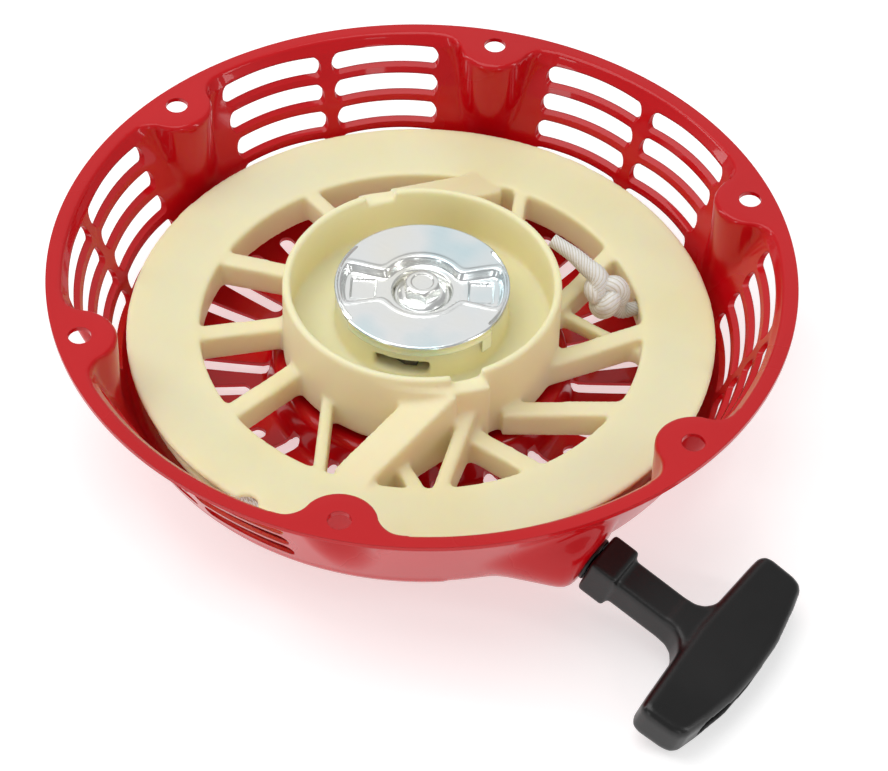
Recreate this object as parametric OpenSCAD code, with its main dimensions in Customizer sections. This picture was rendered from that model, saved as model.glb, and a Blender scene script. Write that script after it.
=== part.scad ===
// Recoil starter for a small engine: pressed steel bowl, moulded rope reel, ratchets and a T-handle.
// The origin is the centre of the bolt circle on the mounting face. +Z points to the engine.
// +X is the horizontal direction in which the rope is pulled.

/* [Case] */
// Outside diameter of the rim
rim_d = 265; // [260:1:272]
// Bolt circle diameter of the mounting holes
bolt_pcd = 247.6; // [246:0.2:249]
// Diameter of each mounting hole
bolt_hole_d = 8; // [7:0.5:9]
// Thickness of the pressed steel sheet
sheet = 1.6; // [1.4:0.1:1.8]
// Angle of the first mounting tab from +X
tab_start = 51; // [51:1:51]
// Width of each vent slot in the wall and in the floor
slot_w = 5.6; // [4:0.2:6]

/* [Reel] */
// Outside diameter of the upper flange of the reel
reel_d = 211.6; // [208:0.4:212]
// Height of the reel's top face below the mounting face
reel_drop = 28.5; // [28:0.5:29]
// Diameter of the starter rope
rope_d = 6; // [5:0.5:6]
// Number of rope layers on the reel, with the one that is being paid out
rope_layers = 3; // [3:1:3]

/* [Handle] */
// Downward tilt of the pull direction
pull_tilt = 17.3; // [15:0.1:19]
// Length of the T-bar
bar_len = 83; // [76:1:88]
// Thickness of the T-bar
bar_t = 14.6; // [13:0.2:16]

/* [Hidden] */
$fn = 64;
rim_r = rim_d / 2;
hole_r = bolt_hole_d / 2;
bolt_r = bolt_pcd / 2;
tab_angles = [for (k = [0:5]) tab_start + 60 * k];
wall_top_r = rim_r - 4.5;      // outside of the wall just under the rim
wall_low = [108, -43.5];       // outside of the wall where the lower bend starts
bend = [[105.6, -47.8], [101.2, -51.6], [95, -54.4], [87, -56.2]];
dish_edge = [55, -58.6];       // outside of the dished floor at the step of the plateau
plateau_r = 52;
plateau_z = -43;               // top of the raised plateau inside the case
tab_post_r = 11.4;             // inner face of the pressed column under each tab
tab_blend_r = 12;              // concave blend from the column to the wall
tab_blend_c = wall_top_r - tab_blend_r + 0.15;
tab_blend_a = 10.48;           // angle at which the blend just overlaps the column
wall_slope = (wall_top_r - wall_low[0]) / wall_low[1];

post_r = 8;
post_top = -16;
arbor_r = 13;
arbor_top = -29.2;
tail_r = 6;

reel_r = reel_d / 2;
reel_top = -reel_drop;
reel_low = reel_top - 13.5;
lower_r = reel_r - 3.4;
rim_in_r = 79.4;               // inner wall of the reel's rim
groove_r = 83.4;               // floor of the rope groove
groove_top = reel_top - 2.7;
groove_low = reel_low + 2.8;
hub_out_r = 49.7;
hub_in_r = 46.7;
hub_top = -7.2;
hub_low = -40.4;
web_top = -26.4;
web_low = -28.9;
column_r = 31;
column_top = -11.5;
pocket_r = 27.5;               // wall of the ratchet chamber inside the column
pocket_floor = -23.4;
spring_out_r = 43.6;
fit = 0.05;                    // radial clearance of every running fit
notch_z = -11;                 // bottom of the two notches in the hub ring
notch_a = [315.8, 328.8];

pawl_pin_r = 2.5;
pawl_pivot_r = 21;
pawl_pivot_a = 250;
pawl_z = [-22.9, -18.3];

plate_r = 32;
plate_top = -9.4;
plate_t = 1.4;
recess_z = -12;                // floor of the bow-tie recess
pocket_z = -14.5;              // seat of the screw
bow_a = 31.5;                  // direction of the bow-tie recess

rope_r = rope_d / 2;
rope_z = (groove_top + groove_low) / 2;
rope_in_r = groove_r + rope_r + 0.4;
rope_out_r = rope_in_r + (rope_layers - 1) * rope_d;

port = [107.8, -53.5, -38];    // centre of the handle's collar face
guide_in = -13;                // inner mouth of the rope guide along the pull direction
knot_at = [50, 49.5, -30];     // knot at the reel's end of the rope
collar = [10, 16.4, 15.8];
neck = [30, 13.6, 12];
knot_x = 48;                   // knot inside the handle along the pull direction

// Point on the rope's centre line where it enters the guide
guide_mouth = [port[0] + guide_in * cos(pull_tilt), port[1], port[2] - guide_in * sin(pull_tilt)];
mouth_d = norm([guide_mouth[0], guide_mouth[1]]);
mouth_a = atan2(guide_mouth[1], guide_mouth[0]);
leave_a = mouth_a - acos(rope_out_r / mouth_d);     // where the rope leaves the reel
lead_len = sqrt(mouth_d * mouth_d - rope_out_r * rope_out_r);

// Ribs of the reel: inner end, outer end at the rim, width, top at the inner end, top at the outer end
RIBS = [
    [[-44, 25], [-70, 33.5], 6, -29.6, -29.2],
    [[-49, -1.5], [-76, -11], 7.4, -29.6, -29.2],
    [[-40, -25], [-62, -47.5], 7.4, -29.6, -29.2],
    [[-24.5, -42], [-31, -73], 7.4, -29.6, -29.2],
    [[-7.5, -48], [9.2, -77], 4.4, -29.6, -29.2],
    [[27, -57], [42.5, -66.5], 5.6, -29.6, -29.2],
    [[39.4, -26], [49.4, -62], 5.4, -20, -29.2],
    [[42, -34], [71, -36], 7.4, -29.6, -29.2],
    [[46, -18], [79, 4.4], 7.6, -29.6, -29.2],
    [[46, 10.5], [67, 43.5], 7.4, -29.6, -29.2],
    [[34, 35], [36, 71], 6.4, -29.6, -29.2],
    [[36, 39], [68, 37.8], 4, -34, -34],
    [[7, 47.5], [-7.5, 78], 5, -29.6, -29.2],
];

// ---- shared helpers ----

// Places its children at the port, with X along the pull direction
module at_port() {
    translate(port) rotate([0, pull_tilt, 0]) children();
}

// Vertical rib between two plan points with a straight sloping top
module rib(p, q, w, top_p, top_q, low) {
    d = q - p;
    len = norm(d);
    translate([p[0], p[1], 0])
        rotate([0, 0, atan2(d[1], d[0])])
            rotate([90, 0, 0])
                translate([0, 0, -w / 2])
                    linear_extrude(height = w)
                        polygon([[0, low], [len, low], [len, top_q], [0, top_p]]);
}

// Sector of a ring, drawn as a polygon that reaches past the ring
module sector(a, b, r) {
    steps = 6;
    polygon(concat([[0, 0]], [for (i = [0:steps]) let (t = a + (b - a) * i / steps) r * [cos(t), sin(t)]]));
}

// Slot with round ends, centred on the origin and running along X, cut through Z
module slot_cut(length, w, depth) {
    cube([length - w, w, depth], center = true);
    for (s = [-1, 1])
        translate([s * (length - w) / 2, 0, 0]) cylinder(d = w, h = depth, center = true, $fn = 24);
}

// Rings of a tube along a list of points, each ring square to the path
function ring_axis(pts, i) =
    let (a = pts[max(i - 1, 0)], b = pts[min(i + 1, len(pts) - 1)]) (b - a) / norm(b - a);
function ring_side(t) =
    let (s = cross(t, [0, 0, 1])) norm(s) > 0.01 ? s / norm(s) : [1, 0, 0];
function tube_ring(c, t, r, sides) =
    let (u = ring_side(t), v = cross(u, t))
    [for (j = [0:sides - 1]) let (a = 360 * j / sides) c + r * (cos(a) * u + sin(a) * v)];

// Closed tube that follows a list of points
module tube_along(pts, r, sides) {
    rings = len(pts);
    verts = [for (i = [0:rings - 1]) each tube_ring(pts[i], ring_axis(pts, i), r, sides)];
    walls = [for (i = [0:rings - 2], j = [0:sides - 1])
        let (k = (j + 1) % sides)
        [i * sides + j, i * sides + k, (i + 1) * sides + k, (i + 1) * sides + j]];
    first = [for (j = [sides - 1:-1:0]) j];
    last = [for (j = [0:sides - 1]) (rings - 1) * sides + j];
    polyhedron(points = verts, faces = concat([first], walls, [last]), convexity = 6);
}

// ---- case and what is fixed to it ----

// Half outline of the bowl, from the axis to the rim; t is added inwards
module bowl_outline(t) {
    lift = t * 1.04;
    polygon(concat(
        [[0, 2], [rim_r - 4.5 - t, 2], [rim_r - 4.5 - t, -2.2], [wall_low[0] - t, wall_low[1]]],
        [for (p = bend) [p[0] - t * 0.8, p[1] + t * 0.6]],
        [[dish_edge[0] + t * 0.2, dish_edge[1] + lift], [plateau_r + 1 + t * 0.6, plateau_z - sheet - 3 + t]],
        [[plateau_r - 2 + t * 0.4, plateau_z - sheet + t], [0, plateau_z - sheet + t]]));
}

// Plan of the pressed column under one tab, with its concave blends to the wall
module tab_plan(grow) {
    translate([bolt_r, 0]) circle(r = tab_post_r + grow);
    difference() {
        polygon([[bolt_r, 0], tab_blend_c * [cos(tab_blend_a), sin(tab_blend_a)],
            150 * [cos(tab_blend_a), sin(tab_blend_a)], 150 * [cos(tab_blend_a), -sin(tab_blend_a)],
            tab_blend_c * [cos(tab_blend_a), -sin(tab_blend_a)]]);
        for (s = [-1, 1])
            rotate([0, 0, s * tab_blend_a]) translate([tab_blend_c, 0]) circle(r = tab_blend_r - grow);
    }
}

module tab_columns(grow, top) {
    for (a = tab_angles)
        rotate([0, 0, a])
            translate([0, 0, -70])
                linear_extrude(height = 70 + top) tab_plan(grow);
}

// Flat face pressed out of the wall where the rope leaves
module snout(grow) {
    at_port()
        translate([-30, 0, 0])
            rotate([0, 90, 0]) cylinder(r1 = 26 + grow, r2 = 14.6 + grow, h = 26.4 + grow);
}

// Vent slots of the wall: two columns of four rows between two tabs, none beside the port
module wall_slots() {
    span = 19.1;               // angle that each slot covers
    for (bay = [0, 1, 2, 3, 5], side = [-1, 1], row = [0:3]) {
        z = -7.4 - 9.8 * row;
        r = wall_top_r - wall_slope * z;
        rotate([0, 0, tab_start + 30 + 60 * bay + side * 10.6])
            translate([r, 0, z])
                rotate([0, 90 - 24, 0])
                    rotate([0, 0, 90]) slot_cut(r * span * PI / 180, slot_w, 14);
    }
}

// Radial vent slots of the floor, long and short in turn
module floor_slots() {
    for (k = [0:35]) {
        inner = k % 2 == 1 ? 54 : 62;
        rotate([0, 0, 10 * k])
            translate([(inner + 88) / 2, 0, -57]) slot_cut(88 - inner, slot_w, 9);
    }
}

module bowl_outside() {
    difference() {
        union() {
            rotate_extrude($fn = 120) bowl_outline(0);
            snout(0);
        }
        tab_columns(0, -sheet);
        translate([0, 0, -0.01]) cylinder(r = rim_r + 5, h = 10);
    }
    translate([0, 0, -sheet]) cylinder(r = rim_r, h = sheet, $fn = 120);
}

module bowl_inside() {
    difference() {
        union() {
            rotate_extrude($fn = 120) bowl_outline(sheet);
            snout(-sheet);
        }
        tab_columns(sheet, 5);
    }
}

module case() {
    color([0.72, 0.05, 0.07])
        difference() {
            bowl_outside();
            bowl_inside();
            for (a = tab_angles)
                rotate([0, 0, a]) translate([bolt_r, 0, -5]) cylinder(r = hole_r, h = 10);
            wall_slots();
            floor_slots();
            at_port() translate([-20, 0, 0]) rotate([0, 90, 0]) cylinder(r = 6.6, h = 40);
            translate([0, 0, -60]) cylinder(r = tail_r + fit, h = 30);
        }
}

// Black bushing that lines the rope's hole; its outer flange shows behind the handle
module rope_guide() {
    color([0.08, 0.08, 0.08])
        at_port()
            rotate([0, 90, 0])
                rotate_extrude()
                    difference() {
                        union() {
                            translate([0, guide_in + 6]) square([6.5, -guide_in - 6.4]);
                            translate([0, -3.4]) square([11.5, 3]);
                            translate([0, guide_in + 6]) square([9, 1.8]);
                        }
                        translate([-1, guide_in]) square([1 + rope_r + 0.4, 20]);
                    }
}

module centre_post() {
    color([0.62, 0.63, 0.66])
        difference() {
            union() {
                translate([0, 0, plateau_z - 4]) cylinder(r = tail_r, h = 10);
                translate([0, 0, plateau_z]) cylinder(r = arbor_r, h = arbor_top - plateau_z);
                translate([0, 0, arbor_top - 1]) cylinder(r = post_r, h = post_top - arbor_top + 1);
                translate([0, 0, plateau_z - 5.6]) cylinder(r1 = 7, r2 = 9, h = 2.6);
            }
            translate([0, 0, post_top - 18]) cylinder(r = 3.4, h = 20);
        }
}

module post_washer() {
    color([0.7, 0.71, 0.74])
        translate([0, 0, plateau_z - 3])
            difference() {
                cylinder(r = 13, h = 3 - sheet);
                translate([0, 0, -1]) cylinder(r = tail_r + fit, h = 5);
            }
}

// ---- reel ----

// Outer wall of the hub that grows towards the notch
module hub_bulge() {
    steps = 12;
    far = notch_a[1] + 1.5;
    polygon(concat(
        [for (i = [0:steps]) let (t = far - 50 * i / steps, r = 54 - 4.4 * i / steps) r * [cos(t), sin(t)]],
        [for (i = [steps:-1:0]) let (t = far - 50 * i / steps) 48 * [cos(t), sin(t)]]));
}

module reel_body() {
    rotate_extrude($fn = 120) {
        // rim with the rope groove
        difference() {
            translate([rim_in_r, reel_low]) square([reel_r - rim_in_r, reel_top - reel_low]);
            translate([groove_r, groove_low]) square([30, groove_top - groove_low]);
            translate([lower_r, reel_low - 1]) square([10, groove_low - reel_low + 2]);
        }
        // hub ring
        translate([hub_in_r, hub_low]) square([hub_out_r - hub_in_r, hub_top - hub_low]);
        // web between the hub ring and the column
        translate([post_r + fit, web_low]) square([hub_in_r - post_r + 1, web_top - web_low]);
        // column around the ratchet chamber
        translate([pocket_r, web_top - 1]) square([column_r - pocket_r, 8.9 + 1]);
        translate([29.7, web_top - 1]) square([column_r - 29.7, column_top - web_top + 1]);
        // chamber floor and bearing boss
        translate([post_r + fit, web_top - 1]) square([pocket_r - post_r + 1, pocket_floor - web_top + 1]);
        translate([post_r + fit, web_top - 1]) square([3.6, -16.9 - web_top + 1]);
    }
    for (s = [0, 180])
        rotate([0, 0, s]) {
            translate([0, 0, hub_low]) linear_extrude(height = notch_z - hub_low) hub_bulge();
            rib([32.6, -35.4], [21, -78], 14.4, notch_z - 0.3, -29, reel_low + 1);
            rotate([0, 0, pawl_pivot_a])
                translate([pawl_pivot_r, 0, pocket_floor - 1])
                    cylinder(r = pawl_pin_r, h = -16.2 - pocket_floor + 1);
        }
    for (r = RIBS)
        rib(r[0], r[1] + 3 * (r[1] - r[0]) / norm(r[1] - r[0]), r[2], r[3], r[4], reel_low + 1.5);
}

module reel() {
    color([0.93, 0.88, 0.68])
        difference() {
            reel_body();
            for (s = [0, 180])
                rotate([0, 0, s]) {
                    // notch through the hub ring
                    translate([0, 0, notch_z])
                        linear_extrude(height = 10)
                            difference() {
                                sector(notch_a[0], notch_a[1], 60);
                                circle(r = 44);
                            }
                    // window that lets the ratchet swing out
                    translate([0, 0, pocket_floor])
                        linear_extrude(height = 5.9)
                            difference() {
                                sector(270, 309, 40);
                                circle(r = 25);
                            }
                }
            // notch in the rim for lifting the rope
            translate([-1, -reel_r, groove_top - 1]) cylinder(r = 4, h = 8);
            // hole in the rim for the rope's end
            translate([knot_at[0], knot_at[1], rope_z])
                rotate([0, 0, atan2(knot_at[1], knot_at[0])])
                    rotate([0, 90, 0]) cylinder(r = rope_r + 0.4, h = 20);
            // spring space under the web and the bore for the post
            translate([0, 0, hub_low - 5]) cylinder(r = spring_out_r + 1.4, h = web_low - hub_low + 5);
            translate([0, 0, -60]) cylinder(r = post_r + fit, h = 80);
            // ribs end inside the hub ring's wall
            translate([0, 0, web_top]) difference() {
                cylinder(r = hub_in_r, h = 40);
                translate([0, 0, -1]) cylinder(r = column_r, h = 42);
            }
        }
}

// Flat spiral spring between the post's arbor and the reel's hub
module recoil_spring() {
    turns = 9;
    steps = turns * 20;
    strip = 0.7;
    function spiral(i, w) =
        let (t = 360 * turns * i / steps, r = arbor_r + 1 + (spring_out_r - arbor_r - 1.8) * i / steps + w)
        r * [cos(t), sin(t)];
    color([0.35, 0.37, 0.42])
        translate([0, 0, hub_low + 0.4])
            linear_extrude(height = web_low - hub_low - 0.9)
                polygon(concat([for (i = [0:steps]) spiral(i, 0)], [for (i = [steps:-1:0]) spiral(i, strip)]));
}

// ---- ratchets ----

// Ratchet arm in plan, drawn with its pivot on the origin and its tip along +X
module ratchet_plan() {
    circle(r = 4.4, $fn = 32);
    polygon([[-1, -4.3], [8, -3.4], [17.6, -3], [21, -0.6], [20, 2], [8, 3], [-1, 4.3]]);
}

module ratchet() {
    pivot = pawl_pivot_r * [cos(pawl_pivot_a), sin(pawl_pivot_a)];
    translate([pivot[0], pivot[1], pawl_z[0]])
        rotate([0, 0, -8])
            difference() {
                linear_extrude(height = pawl_z[1] - pawl_z[0]) ratchet_plan();
                translate([0, 0, -1]) cylinder(r = pawl_pin_r + fit, h = 10);
            }
}

module ratchet_a() {
    color([0.16, 0.16, 0.17]) ratchet();
}

module ratchet_b() {
    color([0.16, 0.16, 0.17]) rotate([0, 0, 180]) ratchet();
}

// Small coil on the ratchet's pin, with two straight legs
module ratchet_spring() {
    pivot = pawl_pivot_r * [cos(pawl_pivot_a), sin(pawl_pivot_a)];
    wire_d = 0.9;
    translate([pivot[0], pivot[1], -17.9]) {
        difference() {
            cylinder(r = pawl_pin_r + 0.4 + wire_d, h = 2 * wire_d - 0.2, $fn = 32);
            translate([0, 0, -1]) cylinder(r = pawl_pin_r + 0.4, h = 4, $fn = 32);
        }
        for (leg = [[110, 0.05], [-30, 0.85]])
            rotate([0, 0, leg[0]])
                translate([pawl_pin_r + 0.6, -wire_d / 2, leg[1]]) cube([7.5, wire_d, wire_d - 0.2]);
    }
}

module ratchet_spring_a() {
    color([0.6, 0.62, 0.66]) ratchet_spring();
}

module ratchet_spring_b() {
    color([0.6, 0.62, 0.66]) rotate([0, 0, 180]) ratchet_spring();
}

// Open wire ring that grips the seat of the guide plate
module friction_spring() {
    color([0.55, 0.57, 0.6])
        translate([0, 0, -14.9]) {
            difference() {
                rotate_extrude($fn = 64) translate([12.9, 0]) circle(r = 0.7, $fn = 16);
                translate([0, 0, -5]) linear_extrude(height = 10) sector(60, 100, 30);
            }
            for (end = [[100, 1], [60, -1]])
                rotate([0, 0, end[0]])
                    translate([12.9, -0.1 * end[1], 0])
                        rotate([0, 90, 0]) cylinder(r = 0.7, h = 7, $fn = 16);
        }
}

// ---- guide plate and screw ----

// Outline of the bow-tie recess with its round centre
module bow_plan(grow) {
    circle(r = 13.8 + grow);
    intersection() {
        circle(r = 28.4 + grow);
        for (s = [0, 180])
            rotate([0, 0, s])
                polygon([[0, -6 - grow], [16, -5.8 - grow], [30, -9 - grow],
                    [30, 9 + grow], [16, 5.8 + grow], [0, 6 + grow]]);
    }
}

module guide_plate() {
    color([0.85, 0.87, 0.88])
        rotate([0, 0, bow_a])
            difference() {
                union() {
                    translate([0, 0, plate_top - plate_t]) cylinder(r = plate_r, h = plate_t);
                    // edges bent down on the two sides without the recess
                    for (s = [0, 180])
                        rotate([0, 0, s])
                            translate([0, 0, -13])
                                linear_extrude(height = 13 + plate_top)
                                    difference() {
                                        sector(38, 142, 60);
                                        circle(r = column_r + 0.35);
                                        difference() {
                                            circle(r = 70);
                                            circle(r = plate_r);
                                        }
                                    }
                    // stop tab at the end of one bent edge
                    rotate([0, 0, 318])
                        translate([column_r + 0.35, -2.2, -19]) cube([0.65, 4.4, 9]);
                    translate([0, 0, recess_z - plate_t])
                        linear_extrude(height = plate_top - recess_z + plate_t) bow_plan(1.2);
                    translate([0, 0, post_top]) cylinder(r = 11.5, h = 4);
                }
                translate([0, 0, recess_z]) linear_extrude(height = 10) bow_plan(0);
                translate([0, 0, pocket_z]) cylinder(r = 10.2, h = 10);
                translate([0, 0, -30]) cylinder(r = 4.2, h = 40);
                // stepped pads near both ends of the recess
                for (s = [0, 180])
                    rotate([0, 0, s]) translate([17, -4.6, recess_z - 0.6]) cube([8, 9.2, 2]);
            }
}

module centre_screw() {
    color([0.8, 0.83, 0.84])
        translate([0, 0, pocket_z]) {
            translate([0, 0, -14]) cylinder(r = 3.35, h = 15);
            cylinder(r = 8.9, h = 1.6);
            translate([0, 0, 1]) rotate([0, 0, 12]) cylinder(r = 6.9, h = 5.8, $fn = 6);
        }
}

// ---- rope ----

// Rope wound on the reel, up to the layer that the straight run lies on
module rope_wound() {
    // the first layer starts at the hole in the reel's rim
    turns = rope_layers - 2 + ((leave_a - atan2(knot_at[1], knot_at[0]) + 720) % 360) / 360;
    end_r = rope_out_r - rope_d - 0.4;
    steps = 58;
    pts = [for (i = [0:steps])
        let (u = i / steps, t = leave_a - 360 * turns * (1 - u))
        let (r = rope_in_r + (end_r - rope_in_r) * u)
        [r * cos(t), r * sin(t), rope_z]];
    color([0.94, 0.92, 0.88]) tube_along(pts, rope_r, 8);
}

// Straight run of rope from the reel to the inner mouth of the guide
module rope_run() {
    leave = [rope_out_r * cos(leave_a), rope_out_r * sin(leave_a), rope_z];
    dir = (guide_mouth - leave) / norm(guide_mouth - leave);
    steps = 8;
    pts = [for (i = [0:steps]) leave + dir * (0.6 + (norm(guide_mouth - leave) - 2) * i / steps)];
    color([0.94, 0.92, 0.88]) tube_along(pts, rope_r, 8);
}

// Rope inside the guide and the handle, up to the handle's knot
module rope_pull() {
    color([0.94, 0.92, 0.88])
        at_port()
            translate([guide_in + 0.8, 0, 0])
                rotate([0, 90, 0]) cylinder(r = rope_r, h = knot_x - guide_in - 2.8, $fn = 24);
}

// Overhand knot, drawn as a round lump with its tail, and the rope through the rim's hole
module reel_knot() {
    tail = [[46, 49.5, -24], [40, 50.5, -20.5], [34, 51, -17.5], [28, 50.5, -14.5]];
    color([0.94, 0.92, 0.88]) {
        translate([knot_at[0], knot_at[1], -27.5]) sphere(r = 7.6, $fn = 32);
        tube_along(tail, rope_r, 10);
        translate([knot_at[0], knot_at[1], rope_z])
            rotate([0, 0, atan2(knot_at[1], knot_at[0])])
                rotate([0, 90, 0]) cylinder(r = rope_r, h = 12.4, $fn = 24);
    }
}

// ---- handle ----

// T-bar in plan, seen square to the pull: X along the pull, Y across
module bar_plan(inset) {
    half = bar_len / 2 - inset;
    polygon([[37.5 + inset, -8], [42 + inset, -half + 8], [43.6 + inset, -half + 3.5], [47 + inset, -half + 0.6],
        [51, -half], [55 - inset, -half + 1], [59 - inset, -half + 4.4], [62.4 - inset, -28], [65 - inset, -14],
        [66 - inset, 0], [65 - inset, 14], [62.4 - inset, 28], [59 - inset, half - 4.4], [55 - inset, half - 1],
        [51, half], [47 + inset, half - 0.6], [43.6 + inset, half - 3.5], [42 + inset, half - 8],
        [37.5 + inset, 8]]);
}

module handle() {
    color([0.09, 0.09, 0.1])
        at_port()
            difference() {
                union() {
                    translate([0.2, -collar[1] / 2, -collar[2] / 2]) cube(collar);
                    translate([5, -neck[1] / 2, -neck[2] / 2]) cube([36, neck[1], neck[2]]);
                    translate([0, 0, -bar_t / 2]) linear_extrude(height = bar_t) bar_plan(0);
                }
                // hollow that opens on the outer face
                translate([0, 0, -4.6])
                    linear_extrude(height = 9.2)
                        intersection() {
                            bar_plan(3.2);
                            translate([44, -40]) square([20, 80]);
                        }
                translate([56, -31, -4.6]) cube([20, 62, 9.2]);
                rotate([0, 90, 0]) cylinder(r = rope_r + 0.3, h = 60);
            }
}

module handle_washer() {
    color([0.72, 0.74, 0.77])
        at_port()
            translate([44, 0, 0])
                rotate([0, 90, 0])
                    difference() {
                        cylinder(r = 4.5, h = 1);
                        translate([0, 0, -1]) cylinder(r = rope_r + 0.2, h = 4);
                    }
}

module handle_knot() {
    color([0.94, 0.92, 0.88])
        at_port()
            translate([knot_x + 2.1, 0, 0]) {
                rotate([0, 90, 0])
                    rotate_extrude($fn = 48)
                        translate([2.4, 0]) circle(r = 1.9, $fn = 32);
                sphere(r = 3.9, $fn = 32);
            }
}

case();
rope_guide();
centre_post();
post_washer();
reel();
recoil_spring();
ratchet_a();
ratchet_b();
ratchet_spring_a();
ratchet_spring_b();
friction_spring();
guide_plate();
centre_screw();
rope_wound();
rope_run();
rope_pull();
reel_knot();
handle();
handle_washer();
handle_knot();
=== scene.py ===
import bpy
import bmesh
import math
from mathutils import Matrix, Vector


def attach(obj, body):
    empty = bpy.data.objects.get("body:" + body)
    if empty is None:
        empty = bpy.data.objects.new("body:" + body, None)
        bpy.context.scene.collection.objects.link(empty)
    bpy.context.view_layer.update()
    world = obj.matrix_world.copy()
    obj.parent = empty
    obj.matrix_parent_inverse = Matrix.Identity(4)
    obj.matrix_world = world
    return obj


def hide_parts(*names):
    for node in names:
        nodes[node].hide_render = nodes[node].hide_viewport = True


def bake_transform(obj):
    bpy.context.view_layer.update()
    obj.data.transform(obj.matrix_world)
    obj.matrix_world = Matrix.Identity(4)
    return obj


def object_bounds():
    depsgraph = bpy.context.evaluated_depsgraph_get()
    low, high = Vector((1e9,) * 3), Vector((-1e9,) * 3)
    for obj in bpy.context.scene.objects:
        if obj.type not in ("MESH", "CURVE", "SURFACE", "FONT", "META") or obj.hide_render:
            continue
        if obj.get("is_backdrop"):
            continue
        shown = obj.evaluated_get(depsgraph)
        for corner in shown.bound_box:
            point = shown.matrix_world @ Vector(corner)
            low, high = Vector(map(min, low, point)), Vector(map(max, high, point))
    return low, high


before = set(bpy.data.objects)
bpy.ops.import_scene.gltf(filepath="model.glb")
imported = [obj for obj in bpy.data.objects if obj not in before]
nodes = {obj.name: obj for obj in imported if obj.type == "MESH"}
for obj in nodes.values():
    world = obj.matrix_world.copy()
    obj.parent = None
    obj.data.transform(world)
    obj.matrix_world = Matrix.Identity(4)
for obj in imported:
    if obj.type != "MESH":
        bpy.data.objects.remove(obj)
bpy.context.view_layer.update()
mm = 0.001
print("frame loaded:", len(nodes), "nodes")

camera = {
    "place": (462.3, -716.5, 818.5),   # mm
    "turn": (44.122, -1.210, 33.488),  # degrees
    "lens": 135.76,
}

camData = bpy.data.cameras.new("camera")
camData.lens = camera["lens"]
camData.sensor_width = 36
camData.clip_end = 20
camObject = bpy.data.objects.new("camera", camData)
bpy.context.collection.objects.link(camObject)
camObject.location = Vector(camera["place"]) * mm
camObject.rotation_euler = [math.radians(a) for a in camera["turn"]]
bpy.context.scene.camera = camObject

studio = {
    "floorSize": 6.0,
    "floorColour": (0.66, 0.66, 0.66),
    "floorGlow": 0.56,        # keeps the paper white under the soft shadow
    "worldPower": 0.4,
    "softboxes": [            # name, place, size in metres, watts
        ("softboxTop", (-0.35, -0.15, 1.5), (1.3, 1.3), 12.0),
        ("softboxBack", (-0.62, 0.98, 1.12), (1.7, 1.0), 2.2),
        ("softboxLeft", (-1.3, -0.5, 0.7), (0.22, 1.3), 4.5),
        ("softboxRight", (1.35, 0.25, 0.6), (0.2, 1.2), 3.6),
        ("softboxFront", (-0.25, -1.5, 0.42), (0.2, 0.7), 1.6),
        ("softboxFrontRight", (1.15, -1.0, 0.4), (0.16, 0.7), 1.2),
    ],
}


def addSoftbox(name, place, size, power):
    data = bpy.data.lights.new(name, "AREA")
    data.shape = "RECTANGLE"
    data.size, data.size_y = size
    data.energy = power
    lamp = bpy.data.objects.new(name, data)
    bpy.context.collection.objects.link(lamp)
    lamp.location = place
    lamp.rotation_euler = (-Vector(place)).to_track_quat("-Z", "Y").to_euler()


for softbox in studio["softboxes"]:
    addSoftbox(*softbox)
bpy.context.scene.view_settings.view_transform = "Standard"
world = bpy.data.worlds.new("world")
bpy.context.scene.world = world
world.use_nodes = True
world.node_tree.nodes["Background"].inputs["Color"].default_value = (1, 1, 1, 1)
world.node_tree.nodes["Background"].inputs["Strength"].default_value = studio["worldPower"]
print("studio ready")


def newMaterial(name, colour, roughness, metallic=0.0):
    material = bpy.data.materials.new(name)
    material.use_nodes = True
    shader = material.node_tree.nodes["Principled BSDF"]
    shader.inputs["Base Color"].default_value = (*colour, 1)
    shader.inputs["Roughness"].default_value = roughness
    shader.inputs["Metallic"].default_value = metallic
    return material, shader


def addNode(material, kind, place=(0, 0), **values):
    made = material.node_tree.nodes.new(kind)
    made.location = place
    for key, value in values.items():
        made.inputs[key].default_value = value
    return made


def objectNoise(material, scale, detail=3.0, stretch=(1, 1, 1)):
    coords = addNode(material, "ShaderNodeTexCoord", (-1100, 0))
    mapping = addNode(material, "ShaderNodeMapping", (-900, 0), Scale=stretch)
    noise = addNode(material, "ShaderNodeTexNoise", (-700, 0), Scale=scale, Detail=detail)
    links = material.node_tree.links
    links.new(coords.outputs["Object"], mapping.inputs["Vector"])
    links.new(mapping.outputs["Vector"], noise.inputs["Vector"])
    return noise.outputs["Fac"]


def rampColour(material, source, stops, target):
    ramp = addNode(material, "ShaderNodeValToRGB", (-450, 100))
    first, last = ramp.color_ramp.elements
    first.position, first.color = stops[0][0], (*stops[0][1], 1)
    last.position, last.color = stops[-1][0], (*stops[-1][1], 1)
    for place, colour in stops[1:-1]:
        ramp.color_ramp.elements.new(place).color = (*colour, 1)
    material.node_tree.links.new(source, ramp.inputs["Fac"])
    material.node_tree.links.new(ramp.outputs["Color"], target)


def rampValue(material, source, low, high, target):
    spread = addNode(material, "ShaderNodeMapRange", (-450, -150))
    for key, value in (("From Min", 0.3), ("From Max", 0.7), ("To Min", low), ("To Max", high)):
        spread.inputs[key].default_value = value
    material.node_tree.links.new(source, spread.inputs["Value"])
    material.node_tree.links.new(spread.outputs["Result"], target)


def addBump(material, shader, source, strength, distance, edgeRadius=0):
    bump = addNode(material, "ShaderNodeBump", (-250, -350), Strength=strength, Distance=distance)
    material.node_tree.links.new(source, bump.inputs["Height"])
    if edgeRadius:
        edges = addNode(material, "ShaderNodeBevel", (-500, -500), Radius=edgeRadius)
        material.node_tree.links.new(edges.outputs["Normal"], bump.inputs["Normal"])
    material.node_tree.links.new(bump.outputs["Normal"], shader.inputs["Normal"])


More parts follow.
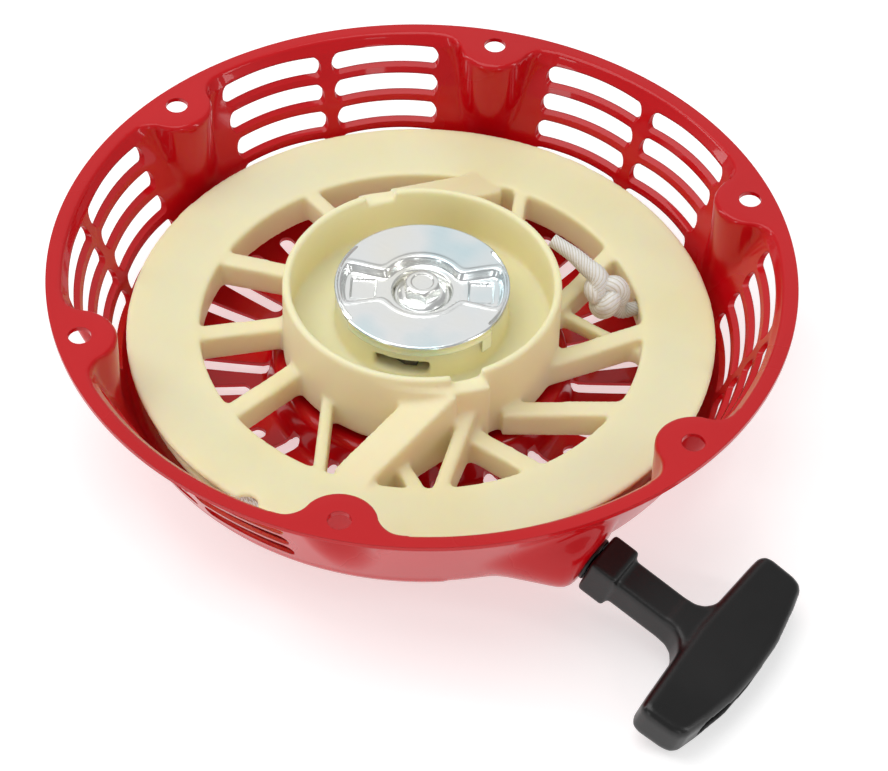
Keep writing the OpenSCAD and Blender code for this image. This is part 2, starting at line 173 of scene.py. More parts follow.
# glossy red paint over pressed steel, a little darker in places
redPaint, shader = newMaterial("redPaint", (0.54, 0.001, 0.004), 0.3)
shader.inputs["Specular IOR Level"].default_value = 0.12
shader.inputs["Coat Weight"].default_value = 0.5
shader.inputs["Coat Roughness"].default_value = 0.05
clouds = objectNoise(redPaint, 9, 4)
rampColour(redPaint, clouds, [(0.3, (0.50, 0.0, 0.003)), (0.7, (0.58, 0.002, 0.006))],
           shader.inputs["Base Color"])
rampValue(redPaint, clouds, 0.22, 0.36, shader.inputs["Roughness"])
addBump(redPaint, shader, objectNoise(redPaint, 130, 2), 0.03, 0.0005, 0.0006)

# natural nylon: light passes a little way into it
nylon, shader = newMaterial("naturalNylon", (0.90, 0.83, 0.53), 0.42)
shader.inputs["Subsurface Weight"].default_value = 0.5
shader.inputs["Subsurface Radius"].default_value = (1.0, 0.7, 0.25)
shader.inputs["Subsurface Scale"].default_value = 0.006
shader.inputs["Specular IOR Level"].default_value = 0.4
clouds = objectNoise(nylon, 14, 4)
rampColour(nylon, clouds,
           [(0.25, (0.88, 0.79, 0.46)), (0.5, (0.91, 0.84, 0.54)), (0.75, (0.92, 0.86, 0.58))],
           shader.inputs["Base Color"])
rampValue(nylon, clouds, 0.36, 0.5, shader.inputs["Roughness"])
addBump(nylon, shader, objectNoise(nylon, 500, 3), 0.06, 0.0004)

# bright zinc plating with a bluish passivation
zinc, shader = newMaterial("zincPlate", (0.84, 0.87, 0.88), 0.2, 1.0)
rampColour(zinc, objectNoise(zinc, 30, 2),
           [(0.3, (0.66, 0.83, 0.88)), (0.5, (0.9, 0.92, 0.92)), (0.7, (0.93, 0.92, 0.86))],
           shader.inputs["Base Color"])
fineLines = objectNoise(zinc, 160, 3, (1, 5, 1))
rampValue(zinc, fineLines, 0.18, 0.27, shader.inputs["Roughness"])
addBump(zinc, shader, fineLines, 0.02, 0.0001, 0.0003)

# black moulded grip
blackGrip, shader = newMaterial("blackGrip", (0.004, 0.004, 0.004), 0.3)
rampValue(blackGrip, objectNoise(blackGrip, 30, 4), 0.24, 0.42, shader.inputs["Roughness"])
addBump(blackGrip, shader, objectNoise(blackGrip, 1400, 2), 0.15, 0.0002)

# oiled spring steel and blackened ratchets
springSteel, shader = newMaterial("springSteel", (0.34, 0.36, 0.4), 0.3, 1.0)
rampColour(springSteel, objectNoise(springSteel, 60),
           [(0.3, (0.22, 0.24, 0.3)), (0.7, (0.42, 0.43, 0.45))], shader.inputs["Base Color"])
darkSteel, shader = newMaterial("darkSteel", (0.08, 0.08, 0.085), 0.45, 0.9)
rampColour(darkSteel, objectNoise(darkSteel, 90, 4),
           [(0.3, (0.05, 0.05, 0.055)), (0.7, (0.14, 0.13, 0.12))], shader.inputs["Base Color"])

floorPaper, shader = newMaterial("floorPaper", studio["floorColour"], 0.9)
shader.inputs["Specular IOR Level"].default_value = 0.1
shader.inputs["Emission Color"].default_value = (1, 1, 1, 1)
shader.inputs["Emission Strength"].default_value = studio["floorGlow"]
print("materials ready")


def meshObject(name, bm):
    mesh = bpy.data.meshes.new(name)
    bm.to_mesh(mesh)
    bm.free()
    made = bpy.data.objects.new(name, mesh)
    bpy.context.collection.objects.link(made)
    return made


def applyModifiers(piece):
    bpy.context.view_layer.update()
    graph = bpy.context.evaluated_depsgraph_get()
    shaped = bpy.data.meshes.new_from_object(piece.evaluated_get(graph))
    piece.modifiers.clear()
    piece.data = shaped


def backToBmesh(thing):
    applyModifiers(thing)
    result = bmesh.new()
    result.from_mesh(thing.data)
    bpy.data.objects.remove(thing)
    return result


def lathe(bm, profile, steps=96):
    made = [bm.verts.new((r, 0, z)) for r, z in profile]
    edges = [bm.edges.new(pair) for pair in zip(made, made[1:])]
    bmesh.ops.spin(bm, geom=made + edges, cent=(0, 0, 0), axis=(0, 0, 1), angle=math.tau,
                   steps=steps, use_merge=True, use_duplicate=False)
    bmesh.ops.remove_doubles(bm, verts=bm.verts, dist=0.0005)


def movedVerts(bm, verts, place):
    bmesh.ops.transform(bm, matrix=place, verts=verts)


def cutAway(bm, cutter):
    made = []
    for part in (bm, cutter):
        bmesh.ops.recalc_face_normals(part, faces=part.faces)
        made.append(meshObject("cutPart", part))
    cut = made[0].modifiers.new("cut", "BOOLEAN")
    cut.operation = "DIFFERENCE"
    cut.solver = "EXACT"
    cut.object = made[1]
    result = backToBmesh(made[0])
    bpy.data.objects.remove(made[1])
    return result


def meltTogether(thing, voxel, rounds, triangles=0):
    remesh = thing.modifiers.new("voxels", "REMESH")
    remesh.mode = "VOXEL"
    remesh.voxel_size = voxel
    if rounds:
        soften = thing.modifiers.new("soften", "SMOOTH")
        soften.factor = 0.5
        soften.iterations = rounds
    applyModifiers(thing)
    count = sum(len(p.vertices) - 2 for p in thing.data.polygons)
    if triangles and count > triangles:
        thin = thing.modifiers.new("thin", "DECIMATE")
        thin.ratio = triangles / count
        applyModifiers(thing)


def finishPiece(piece, material, body, replaced, sharpFrom=180):
    piece.data.materials.clear()
    piece.data.materials.append(material)
    piece.data.polygons.foreach_set("use_smooth", [True] * len(piece.data.polygons))
    if sharpFrom < 180:
        piece.data.set_sharp_from_angle(angle=math.radians(sharpFrom))
    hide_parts(*replaced)
    if body:
        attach(piece, body)
    print(piece.name, "faces", len(piece.data.polygons))


# pieces drawn in millimetres become metres here, once
def scaledObject(name, bm):
    bmesh.ops.recalc_face_normals(bm, faces=bm.faces)
    bmesh.ops.scale(bm, verts=bm.verts, vec=(mm, mm, mm))
    return meshObject(name, bm)


reel = {
    "voxel": 0.7,     # mm
    "rounds": 24,     # more rounds give softer moulded edges
    "triangles": 190000,
}


def buildReel():
    bm = bmesh.new()
    bm.from_mesh(nodes["reel"].data)
    bmesh.ops.remove_doubles(bm, verts=bm.verts, dist=1e-6)
    piece = meshObject("nylonReel", bm)
    meltTogether(piece, reel["voxel"] * mm, reel["rounds"], reel["triangles"])
    finishPiece(piece, nylon, "reel", ["reel"])


buildReel()

port = {
    "centre": (107.8, -53.5, -38),   # centre of the collar's inner face
    "tilt": 17.3,                    # degrees below the horizontal
}
atPort = Matrix.Translation(port["centre"]) @ Matrix.Rotation(math.radians(port["tilt"]), 4, "Y")
alongX = Matrix.Rotation(math.pi / 2, 4, "Y")

bowl = {
    "sheet": 1.6,
    "steps": 600,
    "rimR": 132.5,
    "wallR": 126.4,         # inside of the wall at the mounting face
    "wallSlope": 0.4598,
    "wallLow": -43.5,
    "lip": 2.2,             # rounding from the rim into the wall
    "firstTab": 51,         # degrees, the other five follow every 60
    "boltR": 123.8,
    "columnR": 13.0,        # inside face of the pressed column under a tab
    "columnReach": 5.71,    # degrees from the column's middle to where the blend starts
    "blendR": 10.4,
    "blendAt": (116.15, 10.48),     # radius and degrees of the blend's centre
    "softRim": 1.6,         # rounding of the corner between column and wall
    "softWall": 3.2,
    "softOutlet": 2.5,
    "crowd": (0.55, 11.5),  # this share of the steps goes within so many degrees of a column
    "holeR": 4.0,
    "floor": [              # radius and height, from the wall in to the post's hole
        (106.1, -44.6), (104.6, -46.9), (102.4, -48.9), (99.4, -50.8), (95.6, -52.6),
        (91, -53.9), (85.5, -54.9), (78, -55.6), (70, -56.1), (62, -56.5), (58, -56.6),
        (56.2, -56.0), (55.2, -54.4), (54.7, -52), (54.1, -48), (53.6, -45.4), (52.8, -43.9),
        (51, -43.1), (48, -43), (36, -43), (20, -43), (6.05, -43),
    ],
    "slotWidth": 5.6,
    "slotBays": (0, 1, 2, 3, 5),
    "slotRows": (-7.4, -17.2, -27.0, -36.8),
    "slotSpan": 19.1,       # degrees
    "slotShift": 10.6,      # degrees from the middle of a bay
    "slotLean": 66,         # degrees, the slots are cut square to the wall
    "floorSlots": (54, 62, 88),     # inner end of the long and short ones, outer end
    "floorSlotZ": -57,
    "boreR": 6.6,
    "outlet": (25.4, 12.9, 26.4),   # wide radius, narrow radius, length up to the port
    "outletAngles": (-52, 5),
    "outletRounds": 5,
}


def turnTo(degrees):
    return Matrix.Rotation(math.radians(degrees), 4, "Z")


def softMin(a, b, k):
    h = max(0.0, min(1.0, 0.5 + 0.5 * (b - a) / k))
    return b + (a - b) * h - k * h * (1 - h)


def columnEdge(angle):
    # inside face of the nearest column, in mm from the middle of the bowl
    off = (angle - bowl["firstTab"] + 30) % 60 - 30
    a = math.radians(abs(off))
    blendC, blendA = bowl["blendAt"][0], math.radians(bowl["blendAt"][1])
    if a <= math.radians(bowl["columnReach"]):
        side = bowl["boltR"] * math.sin(a)
        return bowl["boltR"] * math.cos(a) - math.sqrt(bowl["columnR"] ** 2 - side ** 2)
    if a < blendA:
        side = blendC * math.sin(a - blendA)
        return blendC * math.cos(a - blendA) + math.sqrt(max(0.0, bowl["blendR"] ** 2 - side ** 2))
    return 200.0


fromPort = atPort.inverted()


def outletEdge(a, z):
    # how far out the pressed rope outlet reaches at an angle and height
    wide, narrow, long = bowl["outlet"]
    for k in range(60):
        r = bowl["rimR"] - 1.5 - 0.5 * k
        u, v, w = fromPort @ Vector((r * math.cos(a), r * math.sin(a), z))
        allowed = wide + (narrow - wide) * (u + long + 3.6) / long
        if -long - 3.6 < u < -3.4 and math.hypot(v, w) < allowed:
            return r
    return 0.0


def crowdedAngle(share):
    # evenly spun angles drawn closer together round the columns
    sector, u = divmod(share * 6, 1)
    u = 2 * u - 1
    share, reach = bowl["crowd"]
    near = math.copysign(min(abs(u), share) / share * reach, u)
    far = math.copysign(max(0.0, abs(u) - share) / (1 - share) * (30 - reach), u)
    return bowl["firstTab"] + 60 * sector + near + far


def shapeBowlPoint(v):
    b = bowl
    share = (math.degrees(math.atan2(v.co.y, v.co.x)) % 360) / 360
    angle = crowdedAngle(share)
    a, r, z = math.radians(angle), math.hypot(v.co.x, v.co.y), v.co.z
    column = columnEdge(angle)
    if z > -0.001:      # the rim follows the columns with its inner edge
        inner = b["wallR"] + b["lip"]
        top = softMin(b["wallR"], column, b["softRim"]) + b["lip"]
        r = b["rimR"] + (r - b["rimR"]) * (b["rimR"] - top) / (b["rimR"] - inner)
    elif z > -b["lip"] - 0.01:
        r += softMin(b["wallR"], column, b["softRim"]) - b["wallR"]
    elif r > 80:
        if z >= b["wallLow"] - 0.01:
            r = softMin(r, column, b["softWall"])
        low, high = b["outletAngles"]
        if low < (angle + 180) % 360 - 180 < high:
            reach = outletEdge(a, z)
            if reach:
                r = -softMin(-r, -reach, b["softOutlet"])
    v.co = (r * math.cos(a), r * math.sin(a), z)


def drill(bm, radius, depth, segments):
    return bmesh.ops.create_cone(bm, cap_ends=True, segments=segments, radius1=radius,
                                 radius2=radius, depth=depth)["verts"]


def slotCutter(bm, long, wide, deep, place):
    made = bmesh.ops.create_circle(bm, cap_ends=True, segments=24, radius=wide / 2)["verts"]
    for v in made:
        v.co.x += math.copysign((long - wide) / 2, v.co.x)
    raised = bmesh.ops.extrude_face_region(bm, geom=[made[0].link_faces[0]])["geom"]
    lifted = [v for v in raised if isinstance(v, bmesh.types.BMVert)]
    bmesh.ops.translate(bm, verts=lifted, vec=(0, 0, deep))
    bmesh.ops.translate(bm, verts=made + lifted, vec=(0, 0, -deep / 2))
    movedVerts(bm, made + lifted, place)


def bowlCutters():
    b = bowl
    bm = bmesh.new()
    for k in range(6):
        made = drill(bm, b["holeR"], 8, 48)
        movedVerts(bm, made, turnTo(b["firstTab"] + 60 * k) @ Matrix.Translation((b["boltR"], 0, 0)))
    lean = Matrix.Rotation(math.radians(b["slotLean"]), 4, "Y") @ turnTo(90)
    for bay in b["slotBays"]:
        for side in (-1, 1):
            for z in b["slotRows"]:
                angle = b["firstTab"] + 30 + 60 * bay + side * b["slotShift"]
                r = b["wallR"] + b["wallSlope"] * z
                slotCutter(bm, r * math.radians(b["slotSpan"]), b["slotWidth"], 14,
                           turnTo(angle) @ Matrix.Translation((r, 0, z)) @ lean)
    longIn, shortIn, out = b["floorSlots"]
    for k in range(36):
        inner = longIn if k % 2 else shortIn
        slotCutter(bm, out - inner, b["slotWidth"], 9,
                   turnTo(10 * k) @ Matrix.Translation(((inner + out) / 2, 0, b["floorSlotZ"])))
    movedVerts(bm, drill(bm, b["boreR"], 40, 48), atPort @ alongX)
    return bm


def buildBowl():
    b = bowl
    lip, flat = b["lip"], b["rimR"] - b["wallR"] - b["lip"]
    profile = [(b["rimR"] - flat * t, 0) for t in (0, 0.05, 0.35, 0.7, 1)]
    for degrees in (15, 30, 45, 60, 75):
        a = math.radians(degrees)
        profile.append((b["wallR"] + lip * (1 - math.sin(a)), -lip * (1 - math.cos(a))))
    for k in range(21):
        z = -lip - 0.6 + (b["wallLow"] + lip + 0.6) * k / 20
        profile.append((b["wallR"] + b["wallSlope"] * z, z))
    bm = bmesh.new()
    lathe(bm, profile + b["floor"], b["steps"])
    for v in bm.verts:
        shapeBowlPoint(v)
    low, high = (math.radians(a) for a in b["outletAngles"])
    outlet = [v for v in bm.verts if low < math.atan2(v.co.y, v.co.x) < high
              and v.co.z < -6 and math.hypot(v.co.x, v.co.y) > 85]
    for _ in range(b["outletRounds"]):
        bmesh.ops.smooth_vert(bm, verts=outlet, factor=0.5, use_axis_x=True, use_axis_y=True,
                              use_axis_z=True)
    bmesh.ops.recalc_face_normals(bm, faces=bm.faces)
    up = sum(f.normal.z for f in bm.faces if f.calc_center_median().z > -0.1)
    shell = meshObject("shell", bm)
    wall = shell.modifiers.new("sheet", "SOLIDIFY")
    wall.thickness = b["sheet"]
    wall.offset = -1 if up > 0 else 1
    bm = cutAway(backToBmesh(shell), bowlCutters())
    finishPiece(scaledObject("bowl", bm), redPaint, "case", ["case"], 40)


buildBowl()

plate = {
    "r": 32,
    "top": -9.4,
    "sheet": 1.3,
    "turn": 31.5,           # direction of the bow-tie recess, in degrees
    "recess": 2.7,          # depth
    "roundR": 13.8,
    "endR": 28.4,
    "waist": (6.0, 9.0),    # half widths at the middle and at the ends
    "pads": (16.6, 25.4, 4.9, 0.9),   # near end, far end, half width, depth
    "dish": (10.4, 2.6),    # radius and depth round the bolt
    "holeR": 4.2,
    "skirt": 37,            # degrees from the recess where the bent side starts
    "ringGap": 0.32,
    "tab": (318, 4.4, -19),     # direction from the recess, width, lower end
}


def easeStep(x):
    x = max(0.0, min(1.0, x))
    return x * x * (3 - 2 * x)


def plateDrop(x, y):
    p = plate
    r = math.hypot(x, y)
    half = p["waist"][0] + (p["waist"][1] - p["waist"][0]) * easeStep((abs(x) - 12) / 16)
    bow = -softMin(-(abs(y) - half), -(r - p["endR"]), 2.4)
    inside = softMin(r - p["roundR"], bow, 2.2)
    drop = p["recess"] * easeStep((0.9 - inside) / 2.0)
    near, far, wide, deep = p["pads"]
    pad = max(near - abs(x), abs(x) - far, abs(y) - wide)
    drop += deep * easeStep((0.3 - pad) / 0.7)
    drop += p["dish"][1] * easeStep((p["dish"][0] + 0.7 - r) / 1.5)
    drop -= 0.3 * math.exp(-((inside - 1.8) / 1.1) ** 2)     # raised lip left by the press
    return drop


def buildPlate():
    p = plate
    gap = p["ringGap"]
    rings = [p["holeR"] + gap * k for k in range(int((p["r"] - 1.2 - p["holeR"]) / gap) + 1)]
    edge = [(0.9, 0), (0.55, -0.1), (0.25, -0.35), (0.06, -0.75), (0, -1.2), (0, -2.4), (0, -3.7)]
    profile = [(r, 0) for r in rings] + [(p["r"] - inset, z) for inset, z in edge]
    bm = bmesh.new()
    lathe(bm, profile, 288)
    for v in bm.verts:
        x, y, z = v.co
        r = math.hypot(x, y)
        if z < -0.01:           # the two ends beside the recess keep a flat edge
            off = abs(math.degrees(math.atan2(abs(y), x)) - 90)
            bent = easeStep((90 - p["skirt"] - off) / 1.2 + 0.5)
            flatR, flatZ = p["r"] - 0.75 + 0.1 * max(z, -1.2), 0.25 * z / 3.7
            r, z = flatR + (r - flatR) * bent, flatZ + (z - flatZ) * bent
            k = r / math.hypot(x, y)
            v.co = (x * k, y * k, p["top"] + z)
        else:
            v.co.z = p["top"] - plateDrop(x, y)
    bmesh.ops.recalc_face_normals(bm, faces=bm.faces)
    up = sum(f.normal.z for f in bm.faces)
    sheet = meshObject("sheet", bm)
    wall = sheet.modifiers.new("sheet", "SOLIDIFY")
    wall.thickness = p["sheet"] if up > 0 else -p["sheet"]
    wall.offset = -1
    bm = backToBmesh(sheet)
    angle, wide, low = p["tab"]
    made = bmesh.ops.create_cube(bm, size=1)["verts"]
    bmesh.ops.scale(bm, verts=made, vec=(0.65, wide, p["top"] - 1.6 - low))
    bmesh.ops.translate(bm, verts=made, vec=(p["r"] - 0.34, 0, (p["top"] - 1.6 + low) / 2))
    bmesh.ops.rotate(bm, verts=made, cent=(0, 0, 0), matrix=turnTo(angle).to_3x3())
    bmesh.ops.rotate(bm, verts=bm.verts, cent=(0, 0, 0), matrix=turnTo(p["turn"]).to_3x3())
    finishPiece(scaledObject("guidePlate", bm), zinc, "case", ["guide_plate"], 50)


buildPlate()

bolt = {
    "seat": -14.5,
    "flangeR": 8.9,
    "hexR": 6.9,
    "hexTurn": 12,     # degrees
    "headTop": -7.7,
    "shankR": 3.35,
    "shankLow": -28.5,
}


def buildBolt():
    b = bolt
    z, top = b["seat"], b["headTop"]
    bm = bmesh.new()
    lathe(bm, [(0, z + 1), (7.4, z + 1), (7.4, top - 1.7), (6.8, top - 1.1), (6.3, top - 0.65),
               (5.8, top - 0.25), (5.2, top), (4.2, top), (3.7, top - 0.4), (0, top - 0.5)], 120)
    for v in bm.verts:      # flats cut into the round head
        r, a = math.hypot(v.co.x, v.co.y), math.degrees(math.atan2(v.co.y, v.co.x))
        off = math.radians((a - b["hexTurn"]) % 60 - 30)
        flat = b["hexR"] * math.cos(math.radians(30)) / math.cos(off)
        if r > 1:
            v.co.xy *= softMin(r, flat, 0.25) / r
    r = b["flangeR"]
    lathe(bm, [(0, z), (r - 0.3, z), (r, z + 0.3), (r, z + 0.9), (r - 0.4, z + 1.3),
               (6.7, z + 2.1), (0, z + 2.3)])
    r, low = b["shankR"], b["shankLow"]
    lathe(bm, [(0, z + 0.5), (r, z + 0.5), (r, low + 0.8), (r - 0.6, low), (0, low)], 48)
    finishPiece(scaledObject("flangeBolt", bm), zinc, "case", ["centre_screw"], 25)


buildBolt()

guide = {
    "flangeR": 8.0,     # stays behind the handle's collar
    "flange": (-1.9, -0.8),
    "sleeveR": 6.3,
    "inner": -9.2,
    "boreR": 3.4,
}


def buildGuide():
    g = guide
    low, high = g["flange"]
    r, big, bore = g["sleeveR"], g["flangeR"], g["boreR"]
    bm = bmesh.new()
    deep = g["inner"]
    lathe(bm, [(bore + 1.2, high), (big - 0.4, high), (big, high - 0.4), (big, low), (r, low),
               (r, deep), (bore + 1.4, deep), (bore + 0.4, deep + 0.6), (bore, deep + 1.8),
               (bore, high - 1.2), (bore + 0.4, high - 0.4), (bore + 1.2, high)], 72)
    movedVerts(bm, bm.verts, atPort @ alongX)
    finishPiece(scaledObject("ropeGuide", bm), blackGrip, "case", ["rope_guide"], 35)


buildGuide()

grip = {
    "collar": (10.6, 16.8, 16.2),
    "neck": (34, 13.6, 12),
    "barThick": 14.6,
    "barHalf": 41.5,
    "hollow": (38, 60, 8.8),
    "boreR": 3.3,
    "roughVoxel": 0.6,      # mm, joins the blocks
    "voxel": 0.5,           # mm, rounds the finished shape
    "rounds": 12,
    "triangles": 120000,
}


def roundAll(bm, edges, offset, segments):
    bmesh.ops.bevel(bm, geom=edges, offset=offset, offset_type="OFFSET", affect="EDGES",
                    segments=segments, profile=0.5, material=-1)


def block(bm, size, centre, bevelBy):
    made = bmesh.ops.create_cube(bm, size=1)["verts"]
    bmesh.ops.scale(bm, verts=made, vec=size)
    bmesh.ops.translate(bm, verts=made, vec=centre)
    roundAll(bm, list({e for v in made for e in v.link_edges}), bevelBy, 3)


def slab(bm, outline, low, high, bevelBy):
    made = [bm.verts.new((x, y, low)) for x, y in outline]
    raised = bmesh.ops.extrude_face_region(bm, geom=[bm.faces.new(made)])["geom"]
    lifted = [v for v in raised if isinstance(v, bmesh.types.BMVert)]
    bmesh.ops.translate(bm, verts=lifted, vec=(0, 0, high - low))
    level = {e for v in made + lifted for e in v.link_edges
             if abs(e.verts[0].co.z - e.verts[1].co.z) < 0.001}
    roundAll(bm, list(level), bevelBy, 5)


def melted(bm, voxel):
    bmesh.ops.recalc_face_normals(bm, faces=bm.faces)
    thing = meshObject("raw", bm)
    meltTogether(thing, voxel, 0)
    return backToBmesh(thing)


def buildGrip():
    g = grip
    half, t = g["barHalf"], g["barThick"] / 2
    bm = bmesh.new()
    block(bm, g["collar"], (g["collar"][0] / 2 - 0.6, 0, 0), 1.0)
    block(bm, g["neck"], (6 + g["neck"][0] / 2, 0, 0), 1.6)
    flare = [(30, -6.6), (35, -7.2), (37.8, -8.8), (39.8, -11.6), (41, -15), (46, -18)]
    slab(bm, flare + [(x, -y) for x, y in reversed(flare)], -t + 0.9, t - 0.9, 2.2)
    bar = [(40, 0), (40.6, -14), (41.6, -half + 7), (42.0, -half + 3), (43.4, -half + 0.8),
           (46, -half), (55.5, -half + 0.4), (58.6, -half + 1.4), (60.4, -half + 3.6),
           (62.6, -29), (65.2, -15), (66, 0)]
    slab(bm, bar + [(x, -y) for x, y in bar[-2:0:-1]], -t, t, 3.0)
    hollow = bmesh.new()
    block(hollow, g["hollow"], (45 + g["hollow"][0] / 2, 0, 0), 2.0)
    bm = cutAway(melted(bm, g["roughVoxel"]), hollow)
    bore = bmesh.new()
    movedVerts(bore, drill(bore, g["boreR"], 110, 32), alongX)
    bm = cutAway(bm, bore)
    movedVerts(bm, bm.verts, atPort)
    piece = scaledObject("gripT", bm)
    meltTogether(piece, g["voxel"] * mm, g["rounds"], g["triangles"])
    finishPiece(piece, blackGrip, "handle", ["handle"])


buildGrip()

rope = {
    "radius": 3.0,
    "strands": 12,       # seen round the rope
    "pitch": 17.0,       # mm for one turn of a strand
    "relief": 0.55,      # depth between two strands
    "around": 84,        # points in one ring of the rope
    "uvTurn": 18.85,     # the pattern's length once round the rope, in mm
    "coilR": 98.6,
    "coilZ": -35.2,
    "coilSteps": 380,
    "leave": -55.6,      # degrees, where the rope leaves the reel
    "knot": (48.0, 48.4, -26.6),
    "holeTurn": 44.7,    # degrees, direction of the hole in the reel's rim
    "knotSize": 1.68,
    "knotThin": 0.86,    # thickness at the rope's ends, and in the knot
    "knotSwell": 1.3,
    "tail": [(44.2, 48.9, -20.6), (38.2, 49.8, -18.6), (31.8, 50.2, -16.2), (23.4, 49.8, -13.6)],
    "lead": (-12.3, 45.8),   # rope through the guide and the handle
}


# polyester rope: fine threads run across the strands
def ropeMaterial(name):
    material, shader = newMaterial(name, (0.94, 0.92, 0.87), 0.6)
    shader.inputs["Sheen Weight"].default_value = 0.4
    return material, shader


def finishRope(material, shader, pattern):
    # the colour is darker where the pattern is low: painted shade in the grooves between threads and
    # strands
    rampColour(material, pattern,
               [(0.0, (0.68, 0.63, 0.52)), (0.35, (0.93, 0.91, 0.85)), (1.0, (0.98, 0.97, 0.94))],
               shader.inputs["Base Color"])
    addBump(material, shader, pattern, 0.5, 0.0005)


ropeWhite, shader = ropeMaterial("ropeWhite")
uv = addNode(ropeWhite, "ShaderNodeUVMap", (-1100, 0))
uv.uv_map = "along"
threads = addNode(ropeWhite, "ShaderNodeTexWave", (-700, 0), Scale=0.4, Distortion=0.6, Detail=2.0)
threads.bands_direction = "DIAGONAL"
ropeWhite.node_tree.links.new(uv.outputs["UV"], threads.inputs["Vector"])
finishRope(ropeWhite, shader, threads.outputs["Fac"])

# the same rope where it is pulled out: the pattern follows the pull and keeps its size
ropeLead, shader = ropeMaterial("ropeLead")
links = ropeLead.node_tree.links
coords = addNode(ropeLead, "ShaderNodeTexCoord", (-1700, 0))
turned = Matrix.Rotation(math.radians(-port["tilt"]), 4, "Y")
onAxis = addNode(ropeLead, "ShaderNodeMapping", (-1500, 0),
                 Rotation=(0, math.radians(-port["tilt"]), 0),
                 Location=-(turned @ Vector(port["centre"])) * mm)
apart = addNode(ropeLead, "ShaderNodeSeparateXYZ", (-1300, 0))
links.new(coords.outputs["Object"], onAxis.inputs["Vector"])
links.new(onAxis.outputs["Vector"], apart.inputs["Vector"])


def mathNode(kind, first, second):
    made = addNode(ropeLead, "ShaderNodeMath", (-1000, 0))
    made.operation = kind
    for socket, value in zip(made.inputs, (first, second)):
        if isinstance(value, (int, float)):
            socket.default_value = value
        else:
            links.new(value, socket)
    return made.outputs[0]


turnRound = mathNode("ARCTAN2", apart.outputs["Z"], apart.outputs["Y"])
along = mathNode("MULTIPLY", apart.outputs["X"], math.tau / (rope["pitch"] * mm))
phase = mathNode("MULTIPLY", mathNode("ADD", turnRound, along), rope["strands"])
wave = mathNode("MULTIPLY", mathNode("SINE", phase, 0), 0.5)
finishRope(ropeLead, shader, mathNode("ADD", wave, 0.5))


def smoothPath(points, spacing):
    pts = [Vector(p) for p in points]
    pts = [pts[0] * 2 - pts[1]] + pts + [pts[-1] * 2 - pts[-2]]
    fine = []
    for i in range(1, len(pts) - 2):
        a, b, c, d = pts[i - 1:i + 3]
        for k in range(20):
            t = k / 20
            fine.append(0.5 * (2 * b + (c - a) * t + (2 * a - 5 * b + 4 * c - d) * t * t
                               + (3 * b - a - 3 * c + d) * t ** 3))
    fine.append(pts[-2])
    length = sum((q - p).length for p, q in zip(fine, fine[1:]))
    count = max(2, round(length / spacing))
    step, walked, out, i = length / count, 0.0, [fine[0]], 0
    for k in range(1, count):
        while walked + (fine[i + 1] - fine[i]).length < k * step:
            walked += (fine[i + 1] - fine[i]).length
            i += 1
        share = (k * step - walked) / (fine[i + 1] - fine[i]).length
        out.append(fine[i].lerp(fine[i + 1], share))
    return out + [fine[-1]]


def ropeAlong(name, path, body, replaced, swell=None, closed=False, plain=False,
              material=ropeWhite):
    around = rope["around"]
    bm = bmesh.new()
    layer = bm.loops.layers.uv.new("along")
    rings, walked, side = [], 0.0, None
    last = len(path) - 1
    for i, p in enumerate(path):
        if closed:
            before, after = path[i - 1], path[(i + 1) % len(path)]
        else:
            before, after = path[max(i - 1, 0)], path[min(i + 1, last)]
        ahead = (after - before).normalized()
        side = side or ahead.orthogonal().normalized()
        side = (side - ahead * side.dot(ahead)).normalized()
        if i:
            walked += (p - path[i - 1]).length
        size = swell(i / last) if swell else 1
        ring = []
        for k in range(around):
            a = math.tau * k / around
            lobe = abs(math.cos(rope["strands"] / 2 * (a - math.tau * walked / rope["pitch"])))
            r = size * (rope["radius"] - (0 if plain else rope["relief"] * (1 - lobe ** 0.8)))
            ring.append(bm.verts.new(p + r * (math.cos(a) * side + math.sin(a) * ahead.cross(side))))
        rings.append((ring, walked))
    pairs = list(zip(rings, rings[1:]))
    if closed:
        pairs.append((rings[-1], (rings[0][0], walked + (path[0] - path[-1]).length)))
    for (ring, s), (after, t) in pairs:
        for k in range(around):
            j = (k + 1) % around
            face = bm.faces.new((ring[k], ring[j], after[j], after[k]))
            for loop, (turn, far) in zip(face.loops, ((k, s), (k + 1, s), (k + 1, t), (k, t))):
                loop[layer].uv = (turn / around * rope["uvTurn"], -far / rope["pitch"] * rope["uvTurn"])
    if not closed:
        bm.faces.new(list(reversed(rings[0][0])))
        bm.faces.new(rings[-1][0])
    piece = scaledObject(name, bm)
    finishPiece(piece, material, body, replaced, 60)
    return piece


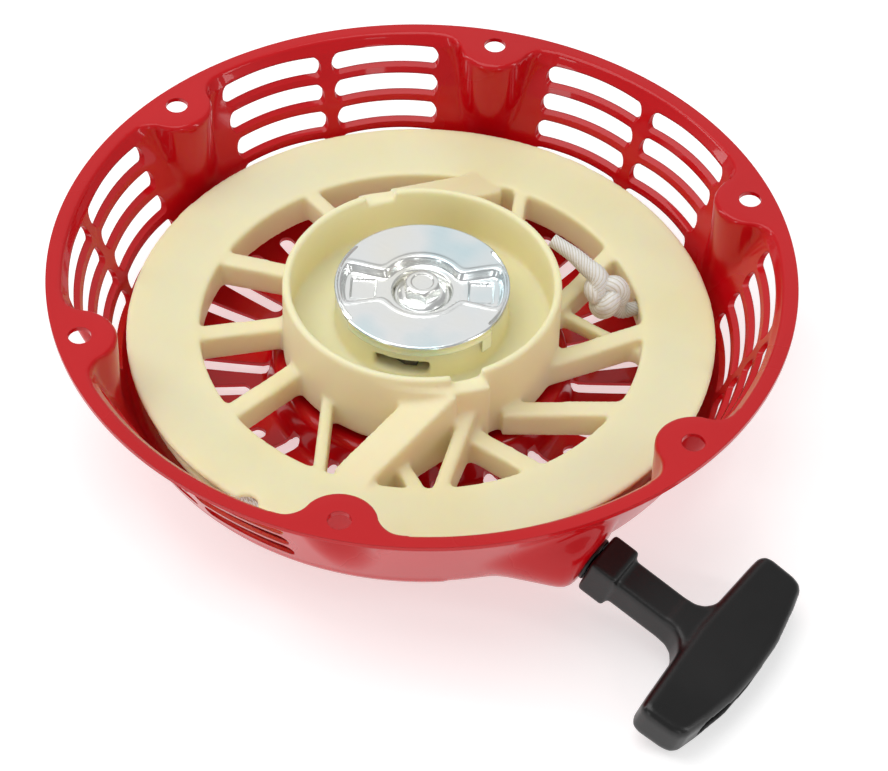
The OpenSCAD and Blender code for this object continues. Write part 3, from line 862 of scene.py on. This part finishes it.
def buildRopes():
    c = rope
    onCoil = lambda a: Vector((c["coilR"] * math.cos(a), c["coilR"] * math.sin(a), c["coilZ"]))
    ring = [onCoil(math.tau * k / c["coilSteps"]) for k in range(c["coilSteps"])]
    ropeAlong("ropeWound", ring, "reel", ["rope_wound"], closed=True)
    run = [onCoil(math.radians(c["leave"])), atPort @ Vector((-12.5, 0, 0))]
    ropeAlong("ropeRun", smoothPath(run, 0.8), "case", ["rope_run"])

    # overhand knot with its tail and the end that goes through the rim's hole
    middle, size = Vector(c["knot"]), c["knotSize"]
    turned = Matrix.Rotation(math.radians(20), 3, "Z") @ Matrix.Rotation(math.radians(35), 3, "X")
    loops = []
    for k in range(25):
        t = math.radians(18 + 326 * k / 24)
        trefoil = Vector((math.sin(t) + 2 * math.sin(2 * t), math.cos(t) - 2 * math.cos(2 * t),
                          -1.45 * math.sin(3 * t)))
        loops.append(middle + size * (turned @ trefoil))
    a = math.radians(c["holeTurn"])
    outward = Vector((math.cos(a), math.sin(a), 0))
    start = Vector((middle.x, middle.y, c["coilZ"])) + outward * 12
    path = smoothPath([start, start - outward * 6] + loops + [Vector(p) for p in c["tail"]], 0.5)
    thin, thick = c["knotThin"], c["knotSwell"]
    swell = lambda share: thin + (thick - thin) * easeStep(share / 0.15) * easeStep((1.0 - share) / 0.3)
    ropeAlong("reelKnot", path, "reel", ["reel_knot"], swell)

    # the lead stretches between the guide and the handle when the handle is pulled
    near, far = c["lead"]
    spots = [near + (far - near) * k / 60 for k in range(61)]
    lead = ropeAlong("ropeLead", [atPort @ Vector((u, 0, 0)) for u in spots], None, ["rope_pull"],
                     plain=True, material=ropeLead)
    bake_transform(lead)


buildRopes()

finishes = {
    "centre_post": zinc, "post_washer": zinc, "recoil_spring": springSteel,
    "ratchet_a": darkSteel, "ratchet_b": darkSteel, "ratchet_spring_a": springSteel,
    "ratchet_spring_b": springSteel, "friction_spring": springSteel, "handle_washer": zinc,
    "handle_knot": ropeLead,
}
for name, material in finishes.items():
    for place in nodes[name].material_slots:
        place.material = material

bm = bmesh.new()
bmesh.ops.create_grid(bm, x_segments=2, y_segments=2, size=studio["floorSize"] / 2)
bmesh.ops.translate(bm, verts=bm.verts, vec=(0, 0, min(corner[2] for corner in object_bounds()) - 0.0004))
floor = meshObject("floor", bm)
floor.data.materials.append(floorPaper)
floor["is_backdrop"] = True
print("floor ready")
